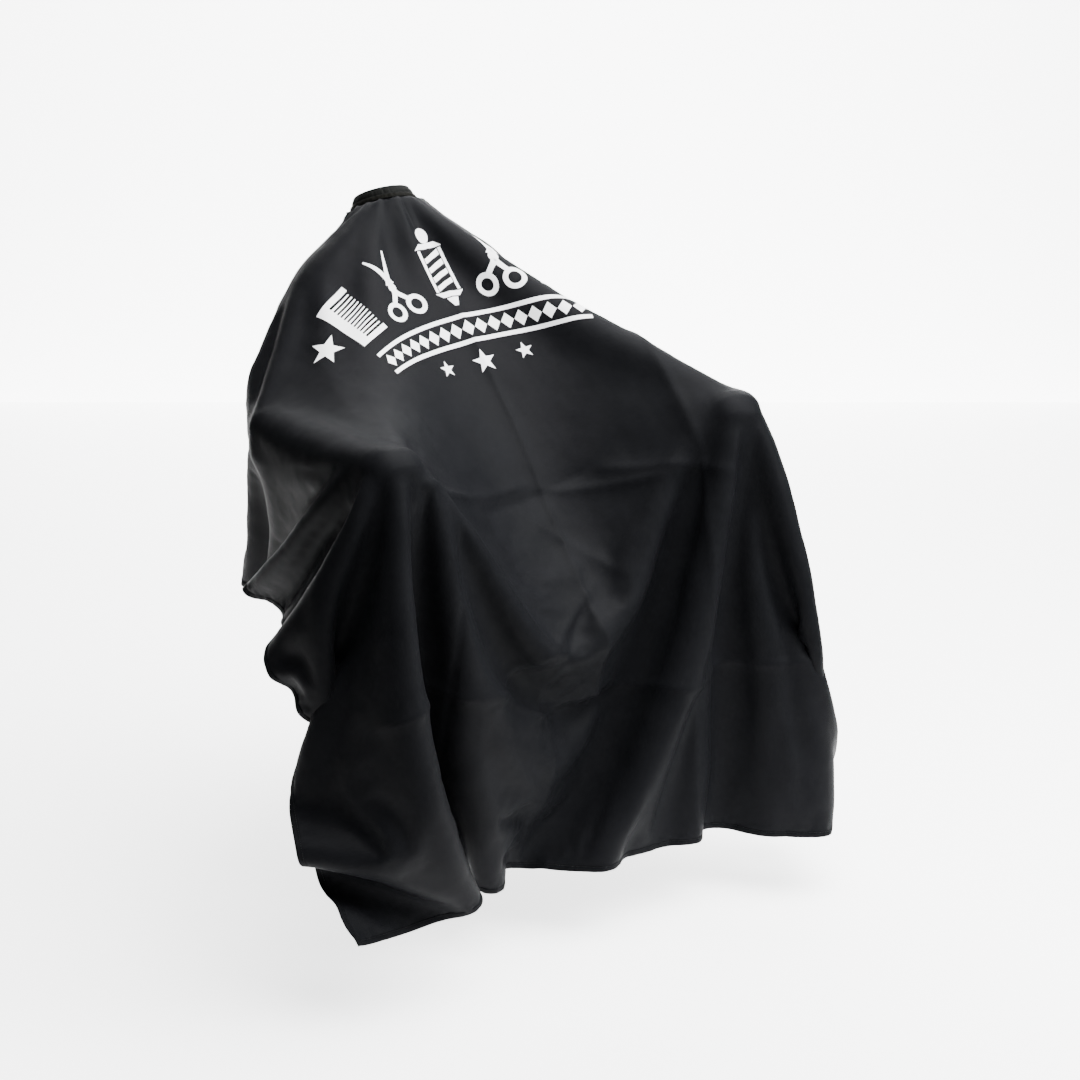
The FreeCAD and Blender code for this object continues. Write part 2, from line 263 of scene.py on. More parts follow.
class Cloth:
    """A grid of points that fall, keep their distances, resist folding and lie on the support."""

    def __init__(self, step):
        across = 2 * int(round(HALF_WIDTH / step))
        along = int(round((FRONT + BACK) / step)) + 1
        self.u_row = (np.arange(across) - 0.5 * across + 0.5) * step
        self.v_row = -BACK + np.arange(along) * step
        self.u, self.v = np.meshgrid(self.u_row, self.v_row)
        reach = neck_reach(self.u, self.v)
        self.live = (reach >= 0.9) & (corner_reach(self.u, self.v) <= 0)
        self.held = self.live & (reach < 1.0 + 0.75 * step / NECK_X)
        self.mass = np.where(self.live & ~self.held, 1.0, 0.0)
        self.ties = []
        self.stays = []
        every = slice(None)
        rows, columns = self.u.shape

        def pairs(count, gap):
            for start in range(0, 2 * gap, gap):
                lows = [np.arange(s, s + gap) for s in range(start, count - 2 * gap + 1, 2 * gap)]
                yield np.concatenate(lows)

        for start in (0, 1):
            n = (columns - start) // 2
            low, high = slice(start, start + 2 * n, 2), slice(start + 1, start + 1 + 2 * n, 2)
            self.tie((every, low), (every, high), 1.0, self.ties)
        for start in (0, 1):
            n = (rows - start) // 2
            low, high = slice(start, start + 2 * n, 2), slice(start + 1, start + 1 + 2 * n, 2)
            self.tie((low, every), (high, every), 1.0, self.ties)
            for side in (0, 1):
                m = (columns - side) // 2
                left, right = slice(side, side + 2 * m, 2), slice(side + 1, side + 1 + 2 * m, 2)
                self.tie((low, left), (high, right), SHEAR, self.ties)
                self.tie((low, right), (high, left), SHEAR, self.ties)
        for gap, stiffness in ((2, BEND_NEAR), (4, BEND_FAR)):
            for places in pairs(columns, gap):
                self.tie((every, places), (every, places + gap), stiffness, self.stays)
            for places in pairs(rows, gap):
                self.tie((places, every), (places + gap, every), stiffness, self.stays)

    def tie(self, a, b, stiffness, where):
        flat = np.stack([self.u, self.v], -1)
        rest = np.linalg.norm(flat[a] - flat[b], axis=-1)
        active = (self.live[a] & self.live[b]).astype(float)
        active[(self.u[a] * self.u[b] < 0) & (np.minimum(self.v[a], self.v[b]) < 0)] = 0
        middle = 0.5 * (flat[a] + flat[b])
        active[neck_reach(middle[..., 0], middle[..., 1]) < 0.85] = 0
        total = self.mass[a] + self.mass[b]
        share = np.where(total > 0, active * stiffness / np.maximum(total, 1e-9), 0)
        where.append((a, b, rest, (share * self.mass[a])[..., None], (share * self.mass[b])[..., None]))

    @staticmethod
    def keep_apart(x, pairs, most):
        """Brings pairs of points back to their distances, those stretched by over most only by most."""
        for a, b, rest, share_a, share_b in pairs:
            apart = x[b] - x[a]
            length = np.sqrt((apart * apart).sum(-1))
            move = (np.minimum(length - rest, most) / np.maximum(length, 1e-9))[..., None] * apart
            x[a] += share_a * move
            x[b] -= share_b * move

    def fall(self, x, steps, time_step, field, pulls=(), soft_steps=0):
        x[self.held] = on_ring_plane(self.u, self.v)[self.held]
        free = self.mass > 0
        speed = np.zeros_like(x)
        hands = []
        for (u, v), place in pulls:
            i = int(np.argmin(np.abs(self.u_row - u)))
            j = int(np.argmin(np.abs(self.v_row - v)))
            grip = np.exp(-((self.u - u) ** 2 + (self.v - v) ** 2) / (2 * HAND ** 2))
            rows, columns = np.nonzero(grip > 0.05)
            hands.append((j, i, np.array(place), rows, columns, grip[rows, columns][:, None]))
        for count in range(steps):
            reach = (PULL_FIRM if count < steps - soft_steps else PULL_SOFT) * time_step ** 2
            speed[..., 2] -= 9.81 * time_step * free
            speed *= max(0.0, 1 - DRAG * time_step)
            before = x.copy()
            x += speed * time_step
            self.keep_apart(x, self.ties, math.inf)
            self.keep_apart(x, self.stays, 0.0)
            for j, i, place, rows, columns, grip in hands:
                pull = place - x[j, i]
                x[rows, columns] += grip * (pull * min(1.0, reach / max(np.linalg.norm(pull), 1e-9)))
            far, out = field.near(x)
            sunk = np.where(free, np.maximum(SKIN - far, 0), 0)
            hit = sunk > 0
            if hit.any():
                x[hit] += sunk[hit][:, None] * out[hit]
                slid = x[hit] - before[hit]
                slid -= (slid * out[hit]).sum(-1, keepdims=True) * out[hit]
                length = np.maximum(np.linalg.norm(slid, axis=-1, keepdims=True), 1e-9)
                x[hit] -= slid * np.minimum(1, FRICTION * sunk[hit][:, None] / length)
            speed = (x - before) / time_step
            fast = np.sqrt((speed ** 2).sum(-1, keepdims=True))
            speed *= np.minimum(1, TOP_SPEED / np.maximum(fast, 1e-9))
        return self.filled(x)

    def filled(self, x):
        """Points off the sheet continue it in a straight line, so that its edge reads smoothly."""
        known = self.live.copy()
        inside = neck_reach(self.u, self.v) < 1.0
        x[inside] = on_ring_plane(self.u, self.v)[inside]
        known |= inside
        for _ in range(3):
            total = np.zeros_like(x)
            count = np.zeros(known.shape)
            for axis, way in ((0, 1), (0, -1), (1, 1), (1, -1)):
                one, two = np.roll(x, way, axis), np.roll(x, 2 * way, axis)
                ok = np.roll(known, way, axis) & np.roll(known, 2 * way, axis) & ~known
                total[ok] += 2 * one[ok] - two[ok]
                count[ok] += 1
            new = count > 0
            x[new] = total[new] / count[new][:, None]
            known |= new
        return x

    def half(self, x, side, new_v, new_u):
        """One half of the sheet, read at new places. Behind the neck the halves are apart."""
        middle = len(self.u_row) // 2
        if side > 0:
            part = x[:, middle - 3:].copy()
        else:
            part = x[:, :middle + 3][:, ::-1].copy()
        apart = self.v_row < -NECK_Y
        for k in (2, 1, 0):
            part[apart, k] = 2 * part[apart, k + 1] - part[apart, k + 2]
        step = self.u_row[1] - self.u_row[0]
        places = self.u_row[middle] + (np.arange(part.shape[1]) - 3) * step
        return read_grid(part, self.v_row, places, new_v, new_u)


def eased(x, cloth, step):
    """Spreads the sharpest bends of the chest, where the cloth hangs free from the neck to an arm rest."""
    soft = x.copy()
    for _ in range(int(round(2 * (EASE / step) ** 2))):
        soft[1:-1, 1:-1] = 0.25 * (soft[:-2, 1:-1] + soft[2:, 1:-1] + soft[1:-1, :-2] + soft[1:-1, 2:])
    reach = np.hypot((cloth.u + 0.12) / 0.34, (cloth.v - 0.36) / 0.29)
    share = smooth((1 - reach) / 0.6)[..., None]
    return x * (1 - share) + soft * share


def drape():
    """The fallen sheet as two half grids, each from the middle outwards."""
    field = Field()
    cloth = Cloth(COARSE)
    part = 1
    x = cloth.fall(thrown(cloth.u, cloth.v), COARSE_STEPS // part, TIME_STEP, field, PULLS,
                   SOFT_STEPS // part)
    finer = Cloth(FINE)
    right = finer.u_row[finer.u_row > 0]
    halves = [cloth.half(x, side, finer.v_row, right) for side in (-1, 1)]
    start = np.concatenate([halves[0][:, ::-1], halves[1]], 1)
    x = finer.fall(start, FINE_STEPS, 0.5 * TIME_STEP, field, PULLS, FINE_STEPS)
    cloth = finer
    x = eased(x, cloth, FINE)
    places = np.arange(-2, int(round(HALF_WIDTH / MESH)) + 1) * MESH
    along = -BACK + np.arange(int(round((FRONT + BACK) / MESH)) + 1) * MESH
    return [cloth.half(x, side, along, places) for side in (-1, 1)], along, places


# ---- the finished surface ----
class Surface:
    """The draped sheet, looked up by place (u, v), with an offset out of its upper side."""

    def __init__(self, halves, along, places):
        self.along = along
        self.places = places
        self.halves = [np.ascontiguousarray(h) for h in halves]
        self.find_normals()

    def find_normals(self):
        self.normals = []
        for side, grid in zip((-1, 1), self.halves):
            dv = np.gradient(grid, axis=0)
            du = np.gradient(grid, axis=1) * side
            self.normals.append(unit(np.cross(dv, du)))

    def displace(self, amount):
        """Moves every point along its normal by amount(u, v)."""
        for k, side in enumerate((-1, 1)):
            u, v = np.meshgrid(side * self.places, self.along)
            self.halves[k] = self.halves[k] + amount(u, v)[..., None] * self.normals[k]
        self.find_normals()

    def read(self, u, v):
        """Points and normals at places (u, v), arrays of one shape."""
        u, v = np.broadcast_arrays(np.asarray(u, float), np.asarray(v, float))
        points = np.zeros(u.shape + (3,))
        normals = np.zeros(u.shape + (3,))
        for k, side in enumerate((-1, 1)):
            mine = u < 0 if side < 0 else u >= 0
            q = (side * u[mine] - self.places[0]) / MESH
            r = (v[mine] - self.along[0]) / MESH
            i = np.clip(q.astype(int), 0, len(self.places) - 2)
            j = np.clip(r.astype(int), 0, len(self.along) - 2)
            s, t = (q - i)[:, None], (r - j)[:, None]
            for table, found in ((self.halves[k], points), (self.normals[k], normals)):
                found[mine] = ((table[j, i] * (1 - s) + table[j, i + 1] * s) * (1 - t)
                               + (table[j + 1, i] * (1 - s) + table[j + 1, i + 1] * s) * t)
        return points, unit(normals)

    def at(self, u, v, out=0.0):
        points, normals = self.read(u, v)
        return points + normals * np.asarray(out)[..., None]


# ---- meshes ----
def make_mesh(name, points, faces, uvs=None, material=None):
    mesh = bpy.data.meshes.new(name)
    mesh.from_pydata([tuple(p) for p in np.asarray(points).reshape(-1, 3)], [], faces)
    if uvs is not None:
        layer = mesh.uv_layers.new(name="cut")
        uvs = np.asarray(uvs).reshape(-1, 2)
        index = np.zeros(len(mesh.loops), dtype=np.int32)
        mesh.loops.foreach_get("vertex_index", index)
        layer.data.foreach_set("uv", uvs[index].astype(np.float32).ravel())
    mesh.validate()
    mesh.polygons.foreach_set("use_smooth", [True] * len(mesh.polygons))
    piece = bpy.data.objects.new(name, mesh)
    bpy.context.scene.collection.objects.link(piece)
    if material:
        mesh.materials.append(material)
    return piece


def sweep(name, rings, uvs, material, closed=False):
    """Skin over rings of points, an array (stations, points round, 3), capped at its ends."""
    stations, sides = rings.shape[:2]
    index = np.arange(stations * sides).reshape(stations, sides)
    faces = []
    last = stations if closed else stations - 1
    for i in range(last):
        a, b = index[i], index[(i + 1) % stations]
        for k in range(sides):
            m = (k + 1) % sides
            faces.append((int(a[k]), int(a[m]), int(b[m]), int(b[k])))
    if not closed:
        faces.append(tuple(int(k) for k in index[0][::-1]))
        faces.append(tuple(int(k) for k in index[-1]))
    return make_mesh(name, rings, faces, uvs, material)


def stitch_mesh(name, starts, ends, normals, material, width=0.00055, height=0.0004):
    """Small thread beads, each lying between its start and its end."""
    along = ends - starts
    side = unit(np.cross(along, normals)) * (0.5 * width)
    rise = normals * height
    middle_a, middle_b = starts + 0.22 * along, starts + 0.78 * along
    rows = [starts, middle_a + side, middle_a + rise, middle_a - side, middle_a - 0.4 * rise,
            middle_b + side, middle_b + rise, middle_b - side, middle_b - 0.4 * rise, ends]
    points = np.stack(rows, 1).reshape(-1, 3)
    pattern = []
    for k in range(4):
        m = (k + 1) % 4
        pattern += [(0, 1 + k, 1 + m), (1 + k, 5 + k, 5 + m, 1 + m), (5 + k, 9, 5 + m)]
    faces = [tuple(10 * n + q for q in face) for n in range(len(starts)) for face in pattern]
    return make_mesh(name, points, faces, None, material)


# ---- materials ----
class Shader:
    """A principled material and a few short ways to add nodes to it."""

    def __init__(self, name, color, roughness, **settings):
        self.material = bpy.data.materials.new(name)
        self.material.use_nodes = True
        self.tree = self.material.node_tree
        self.main = self.tree.nodes["Principled BSDF"]
        self.main.inputs["Base Color"].default_value = (*color, 1.0)
        self.main.inputs["Roughness"].default_value = roughness
        for key, value in settings.items():
            self.main.inputs[key.replace("_", " ")].default_value = value

    def node(self, kind, values=None, **settings):
        made = self.tree.nodes.new(kind)
        for key, value in settings.items():
            setattr(made, key, value)
        for key, value in (values or {}).items():
            made.inputs[key].default_value = value
        return made

    def link(self, a, b):
        self.tree.links.new(a, b)

    def math(self, operation, a, b=0.5):
        made = self.node("ShaderNodeMath", operation=operation)
        for k, value in enumerate((a, b)):
            if isinstance(value, (int, float)):
                made.inputs[k].default_value = value
            else:
                self.link(value, made.inputs[k])
        return made.outputs[0]

    def noise(self, place, scale, detail=3.0, roughness=0.55):
        made = self.node("ShaderNodeTexNoise", {"Scale": scale, "Detail": detail, "Roughness": roughness})
        self.link(place, made.inputs["Vector"])
        return made.outputs["Fac"]

    def bump(self, height, strength, distance, under=None):
        made = self.node("ShaderNodeBump", {"Strength": strength, "Distance": distance})
        self.link(height, made.inputs["Height"])
        if under is not None:
            self.link(under, made.inputs["Normal"])
        return made.outputs["Normal"]

    def between(self, factor, a, b):
        made = self.node("ShaderNodeMix", data_type="RGBA")
        self.link(factor, made.inputs["Factor"])
        made.inputs["A"].default_value = (*a, 1.0)
        made.inputs["B"].default_value = (*b, 1.0)
        return made.outputs["Result"]

    def span(self, value, low, high, to_low, to_high):
        made = self.node("ShaderNodeMapRange", {"From Min": low, "From Max": high, "To Min": to_low,
                                                "To Max": to_high})
        self.link(value, made.inputs["Value"])
        return made.outputs["Result"]


def woven(name, dark, light, roughness, pitch=0.0006, weave=0.25, crumple=0.2, place="UV", **settings):
    """Plain-woven cloth: two crossing thread waves, a faint crumple and worn, uneven dye."""
    shader = Shader(name, dark, roughness, **settings)
    here = shader.node("ShaderNodeTexCoord").outputs[place]
    split = shader.node("ShaderNodeSeparateXYZ")
    shader.link(here, split.inputs[0])
    turns = 2 * math.pi / pitch
    warp = shader.math("SINE", shader.math("MULTIPLY", split.outputs["X"], turns), 0.0)
    weft = shader.math("SINE", shader.math("MULTIPLY", split.outputs["Y"], turns), 0.0)
    threads = shader.math("MULTIPLY", warp, weft)
    dye = shader.noise(here, 14.0, 4.0, 0.6)
    slub = shader.noise(here, 160.0, 2.0, 0.5)
    tint = shader.math("ADD", shader.math("MULTIPLY", dye, 0.7), shader.math("MULTIPLY", slub, 0.3))
    shader.link(shader.between(shader.span(tint, 0.3, 0.7, 0.0, 1.0), dark, light),
                shader.main.inputs["Base Color"])
    shader.link(shader.span(dye, 0.3, 0.7, roughness - 0.05, roughness + 0.06),
                shader.main.inputs["Roughness"])
    soft = shader.bump(shader.noise(here, 45.0, 4.0, 0.55), crumple, 0.004)
    shader.link(shader.bump(threads, weave, 0.00012, soft), shader.main.inputs["Normal"])
    return shader.material


CAPE_CLOTH = woven("cape cloth", (0.0040, 0.0042, 0.0049), (0.0056, 0.0058, 0.0067), 0.48,
                   crumple=0.08, Specular_IOR_Level=0.022)
HEM_CLOTH = woven("hem cloth", (0.0030, 0.0032, 0.0037), (0.0044, 0.0046, 0.0053), 0.52,
                  crumple=0.20, Specular_IOR_Level=0.022)
COLLAR_CLOTH = woven("collar cloth", (0.0034, 0.0037, 0.0034), (0.0048, 0.0051, 0.0047), 0.62,
                     weave=0.4, Specular_IOR_Level=0.03)
LINING_CLOTH = woven("lining cloth", (0.0068, 0.0070, 0.0073), (0.010, 0.0103, 0.0103), 0.8,
                     weave=0.4, Specular_IOR_Level=0.12, Sheen_Weight=0.02, Sheen_Roughness=0.6)
TAPE_CLOTH = woven("seam tape", (0.0022, 0.0022, 0.0017), (0.0034, 0.0034, 0.0026), 0.7, pitch=0.0011,
                   weave=0.7, Specular_IOR_Level=0.03)
THREAD = woven("sewing thread", (0.0050, 0.0053, 0.0060), (0.0080, 0.0083, 0.0092), 0.5, pitch=0.0005,
               weave=0.4, place="Object", Specular_IOR_Level=0.12)
LABEL_CLOTH = woven("label ribbon", (0.55, 0.55, 0.53), (0.70, 0.70, 0.68), 0.45, pitch=0.0005,
                    Sheen_Weight=0.2, Sheen_Roughness=0.3)
STIFFENER = woven("stiffener", (0.22, 0.22, 0.20), (0.30, 0.30, 0.28), 0.85, place="Object")
PRINT_INK = woven("print ink", (0.78, 0.78, 0.79), (0.88, 0.88, 0.89), 0.55, weave=0.12,
                  crumple=0.08)


def scuffed(name, color, roughness, metallic, **settings):
    """Pressed metal or enamel, with fine scuffs and uneven polish."""
    shader = Shader(name, color, roughness, Metallic=metallic, **settings)
    here = shader.node("ShaderNodeTexCoord").outputs["Object"]
    shader.link(shader.span(shader.noise(here, 900.0), 0.35, 0.65, roughness - 0.08, roughness + 0.12),
                shader.main.inputs["Roughness"])
    shader.link(shader.bump(shader.noise(here, 1400.0, 2.0), 0.15, 0.0001), shader.main.inputs["Normal"])
    return shader.material


ENAMEL = scuffed("black enamel", (0.012, 0.012, 0.013), 0.28, 0.0, Coat_Weight=0.4)
NICKEL = scuffed("nickel plate", (0.62, 0.61, 0.58), 0.24, 1.0)
WIRE = scuffed("spring wire", (0.50, 0.50, 0.50), 0.35, 1.0)


# ---- the drape and its small relief ----
surface = Surface(*drape())


def waves(count, shortest, longest, seed):
    """A smooth random field over the sheet, near -1 to 1."""
    pick = np.random.default_rng(seed)
    turn = pick.uniform(0, 2 * math.pi, count)
    size = 2 * math.pi / np.exp(pick.uniform(math.log(shortest), math.log(longest), count))
    phase = pick.uniform(0, 2 * math.pi, count)

    def field(u, v):
        total = np.zeros(np.shape(u))
        for k in range(count):
            total += np.sin(size[k] * (u * math.cos(turn[k]) + v * math.sin(turn[k])) + phase[k])
        return total / math.sqrt(0.5 * count) / 1.6

    return field


def crease(u, v, start, end, height, spread, fade=0.05):
    """A pressed fold from start to end: a ridge with straight, shallow sides."""
    (u0, v0), (u1, v1) = start, end
    length = math.hypot(u1 - u0, v1 - v0)
    du, dv = (u1 - u0) / length, (v1 - v0) / length
    along = (u - u0) * du + (v - v0) * dv
    off = np.abs((v - v0) * du - (u - u0) * dv)
    ends = smooth((along + fade) / fade) * smooth((length - along + fade) / fade)
    return height * np.exp(-off / spread) * ends


APEX, LEFT, RIGHT = (0.0, 0.715), (-0.185, 0.860), (0.010, 0.880)
FOOT, HUB = (-0.095, 0.905), (-0.070, 0.805)
CREASES = [
    # pressed folds: down the middle, down both sides, across, and the star where they meet
    ((0.0, 0.10), (0.0, 0.66), 0.0030, 0.010),
    ((-0.075, 0.93), (-0.07, 1.15), 0.0042, 0.012),
    ((0.235, 0.25), (0.245, 1.15), 0.0045, 0.012),
    ((-0.275, 0.62), (-0.275, 1.15), -0.0038, 0.012),
    ((-0.50, 0.84), LEFT, 0.0044, 0.011),
    (RIGHT, (0.235, 0.920), 0.0044, 0.011),
    ((0.235, 0.910), (0.68, 0.885), 0.0040, 0.011),
    (APEX, LEFT, 0.0060, 0.012),
    (APEX, RIGHT, 0.0060, 0.012),
    (LEFT, FOOT, 0.0064, 0.012),
    (FOOT, RIGHT, 0.0064, 0.012),
    (HUB, APEX, -0.0048, 0.014),
    (HUB, FOOT, 0.0046, 0.012),
    (HUB, LEFT, -0.0040, 0.016),
    (HUB, RIGHT, -0.0040, 0.016),
    # slack wrinkles over the lap
    ((-0.33, 0.575), (-0.20, 0.555), 0.0042, 0.009),
    ((-0.22, 0.560), (-0.05, 0.535), 0.0046, 0.010),
    ((-0.10, 0.565), (0.06, 0.540), -0.0034, 0.011),
    ((0.02, 0.550), (0.16, 0.590), 0.0044, 0.009),
    ((0.12, 0.555), (0.25, 0.610), 0.0038, 0.009),
    ((-0.02, 0.600), (0.05, 0.680), 0.0030, 0.011),
]


def relief(u, v):
    """Height of the small detail over the fallen cloth."""
    total = 0.00045 * waves(24, 0.045, 0.14, 3)(u, v) + 0.00012 * waves(30, 0.014, 0.035, 4)(u, v)
    for start, end, height, spread in CREASES:
        total = total + crease(u, v, start, end, height, spread)
    past = corner_reach(u, v)
    edge = np.minimum(np.minimum(FRONT - v, v + BACK), HALF_WIDTH - np.abs(u))
    edge = np.maximum(np.minimum(edge, np.where(past > -0.99, -past, 1.0)), 0.0)
    pucker = 0.0011 * np.exp(-((edge - 0.010) / 0.009) ** 2)
    total = total + pucker * waves(40, 0.010, 0.020, 5)(u, v)
    turn = np.arctan2(u / NECK_X, v / NECK_Y)
    reach = neck_reach(u, v)
    gather = smooth((reach - 1.02) / 0.12) * np.exp(-np.maximum(reach - 1.1, 0) / 0.8)
    folds = np.sin(23 * turn + 1.5 * np.sin(3 * turn)) + 0.6 * np.sin(37 * turn + 1.0)
    total = total + 0.0011 * gather * folds
    return total * smooth((reach - 1.0) / 0.15)


surface.displace(relief)


def sheet_points(step):
    """Places of the sheet's mesh points; which are on it, with those near its edges on them."""
    inner = np.arange(1, int(round(HALF_WIDTH / step)) + 1) * step
    across = np.concatenate([-inner[::-1], [-SLIT, SLIT], inner])
    along = -BACK + np.arange(int(round((FRONT + BACK) / step)) + 1) * step
    u, v = np.meshgrid(across, along)
    reach = neck_reach(u, v)
    off_ring = (reach - 1.0) * NECK_ROUND
    snap = np.abs(off_ring) < 0.6 * step
    u, v = np.where(snap, u / np.maximum(reach, 0.1), u), np.where(snap, v / np.maximum(reach, 0.1), v)
    live = (off_ring > 0) | snap
    past = corner_reach(u, v)
    snap = (past > -0.6 * step) & (past < 0.6 * step)
    centre_u = np.sign(u) * (HALF_WIDTH - CORNER)
    centre_v = CORNER - BACK
    scale = CORNER / np.maximum(past + CORNER, 1e-6)
    u = np.where(snap, centre_u + (u - centre_u) * scale, u)
    v = np.where(snap, centre_v + (v - centre_v) * scale, v)
    live &= (past <= 0) | snap
    return u, v, live


def make_sheet():
    u, v, live = sheet_points(MESH)
    rows, columns = u.shape
    middle = columns // 2 - 1
    index = np.cumsum(live).reshape(live.shape) - 1
    points = surface.at(u[live], v[live])
    faces = []
    for j in range(rows - 1):
        for i in range(columns - 1):
            if i == middle and v[j, i] < -0.5 * NECK_Y:
                continue
            corners = [(j, i), (j, i + 1), (j + 1, i + 1), (j + 1, i)]
            face = [int(index[c]) for c in corners if live[c]]
            if len(face) > 2:
                faces.append(tuple(face[::-1]))
    piece = make_mesh("cape_cloth", points, faces, np.stack([u[live], v[live]], -1), CAPE_CLOTH)
    thick = piece.modifiers.new("thickness", "SOLIDIFY")
    thick.thickness = SHEET_THICK
    thick.offset = 0.0
    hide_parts("cape_panel")
    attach(piece, "cape")
    return piece


# ---- hems and facings ----
def even_path(path, spacing):
    """Places a given spacing apart along a path of places."""
    path = np.asarray(path, float)
    walked = np.concatenate([[0], np.cumsum(np.linalg.norm(np.diff(path, axis=0), axis=1))])
    count = max(2, int(round(walked[-1] / spacing)) + 1)
    where = np.linspace(0, walked[-1], count)
    return np.stack([np.interp(where, walked, path[:, k]) for k in (0, 1)], -1)


def inward_of(path, toward):
    """Unit directions across a path, on the side of the place toward."""
    run = unit(np.gradient(path, axis=0))
    across = np.stack([-run[:, 1], run[:, 0]], -1)
    side = np.sign(((np.asarray(toward) - path) * across).sum(-1))
    return across * np.sign(np.median(side))


def back_path(side):
    arc = np.linspace(0, 0.5 * math.pi, 30)
    straight = np.stack([np.linspace(SLIT, HALF_WIDTH - CORNER, 60), np.full(60, -BACK)], -1)
    bend = np.stack([HALF_WIDTH - CORNER + CORNER * np.sin(arc), CORNER - BACK - CORNER * np.cos(arc)], -1)
    return np.concatenate([straight, bend[1:]]) * [side, 1]


def edge_points(path, inward, depth, out):
    """Points at a depth inside an edge; a negative depth is just beyond it."""
    place = path + inward * max(depth, 0.0)
    points, normals = surface.read(place[:, 0], place[:, 1])
    if depth < 0:
        inner = path + inward * 0.002
        within, _ = surface.read(inner[:, 0], inner[:, 1])
        points = points + unit(points - within) * -depth
    return points + normals * out


def turned_edge(name, node, path, toward):
    """A turned and stitched edge: a flattened loop of cloth that wraps the panel's edge."""
    path = even_path(path, 0.0035)
    inward = inward_of(path, toward)
    width, half = HEM_WIDTH, 0.5 * HEM_THICK
    upper = [(width, 0.15 * half), (width - 0.0004, 0.8 * half), (width - 0.0018, 0.55 * half),
             (0.6 * width, half), (0.25 * width, 1.05 * half), (0.0004, 0.85 * half),
             (-0.0004, 0.35 * half)]
    profile = upper + [(depth, -out) for depth, out in upper[::-1]]
    ripple = 1.0 + 0.22 * waves(20, 0.008, 0.018, 11)(path[:, 0], path[:, 1])
    rings = np.stack([edge_points(path, inward, depth, out * ripple[:, None]) for depth, out in profile], 1)
    uvs = np.stack([path + inward * depth for depth, out in profile], 1)
    piece = sweep(name, rings, uvs, HEM_CLOTH)
    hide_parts(node)
    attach(piece, "cape")
    return piece


def stitched_line(path, toward, depth, out, pitch=0.0032):
    """Rows of stitches on both faces of the sheet, at a depth inside an edge."""
    starts = even_path(path, pitch)
    inward = inward_of(starts, toward)
    run = unit(np.gradient(starts, axis=0))
    rows = []
    for face in (1, -1):
        a, normals = surface.read(*(starts + inward * depth).T)
        b, _ = surface.read(*(starts + inward * depth + run * (0.72 * pitch)).T)
        rows.append((a + normals * (face * out), b + normals * (face * out), normals * face))
    return [np.concatenate(part) for part in zip(*rows)]


# ---- collar, tab and snaps ----
LEAN = 0.45                   # how far the collar leans in per unit of height
SNAP_HEIGHT = 0.013
TAB_ROOT = -0.009
TAB_LOW, TAB_HIGH = 0.005, 0.020
SNAP_PLACE = 0.0305           # along the band, from the opening's centre to the closed snap
TAB_END = SNAP_PLACE + 0.009
TAB_CLEAR = 0.0034
BAND_ROUND = 0.052            # radius by which an angle along the band becomes a length of cloth
TAB_ROUND = 0.048             # the same on the tab


def band(angle, height, out=0.0):
    """Points out of the collar's face. The angle is 0 at the back and grows to the right."""
    angle, height, out = np.broadcast_arrays(*(np.asarray(k, float) for k in (angle, height, out)))
    angle, height, out = angle[..., None], height[..., None], out[..., None]
    radial = RING_SIDE * np.sin(angle) - RING_FRONT * np.cos(angle)
    across, deep = NECK_X - LEAN * height, NECK_Y - LEAN * height
    points = RING_SIDE * across * np.sin(angle) - RING_FRONT * deep * np.cos(angle) + RING_UP * height
    round_it = RING_SIDE * across * np.cos(angle) + RING_FRONT * deep * np.sin(angle)
    normals = unit(np.cross(RING_UP - LEAN * radial, round_it))
    return points + normals * out, normals


def band_turn(distance, height=0.0):
    """Angle from the back to a distance along the band."""
    angles = np.linspace(0, math.pi, 2000)
    pace = np.hypot((NECK_X - LEAN * height) * np.cos(angles), (NECK_Y - LEAN * height) * np.sin(angles))
    walked = np.concatenate([[0], np.cumsum(0.5 * (pace[1:] + pace[:-1]) * np.diff(angles))])
    return math.copysign(float(np.interp(abs(distance), walked, angles)), distance)


def band_strip(name, nodes, profile, material, start, end, stations, body="cape", wobble=None, taper=None):
    """A strip of the band between two angles, with a closed profile of (height, out) pairs."""
    angles = np.linspace(start, end, stations)
    heights, outs = np.array(profile).T
    angle, height = np.meshgrid(angles, heights, indexing="ij")
    out = np.broadcast_to(outs, height.shape).copy()
    if wobble is not None:
        out = out + wobble(angle, height, outs)
    if taper is not None:
        centre = 0.5 * (heights.max() + heights.min())
        height = centre + (height - centre) * taper(angle)
    points, _ = band(angle, height, out)
    uvs = np.stack([angle * BAND_ROUND, height], -1)
    piece = sweep(name, points, uvs, material)
    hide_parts(*nodes)
    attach(piece, body)


def gathers(depth, count, seed):
    """Soft upright ripples of a stitched band, on its outer side only."""
    field = waves(count, 0.0045, 0.012, seed)

    def wobble(angle, height, outs):
        face = np.clip(outs / max(outs.max(), 1e-6), 0, 1)
        return depth * face * field(angle * BAND_ROUND, height * 0.35)

    return wobble


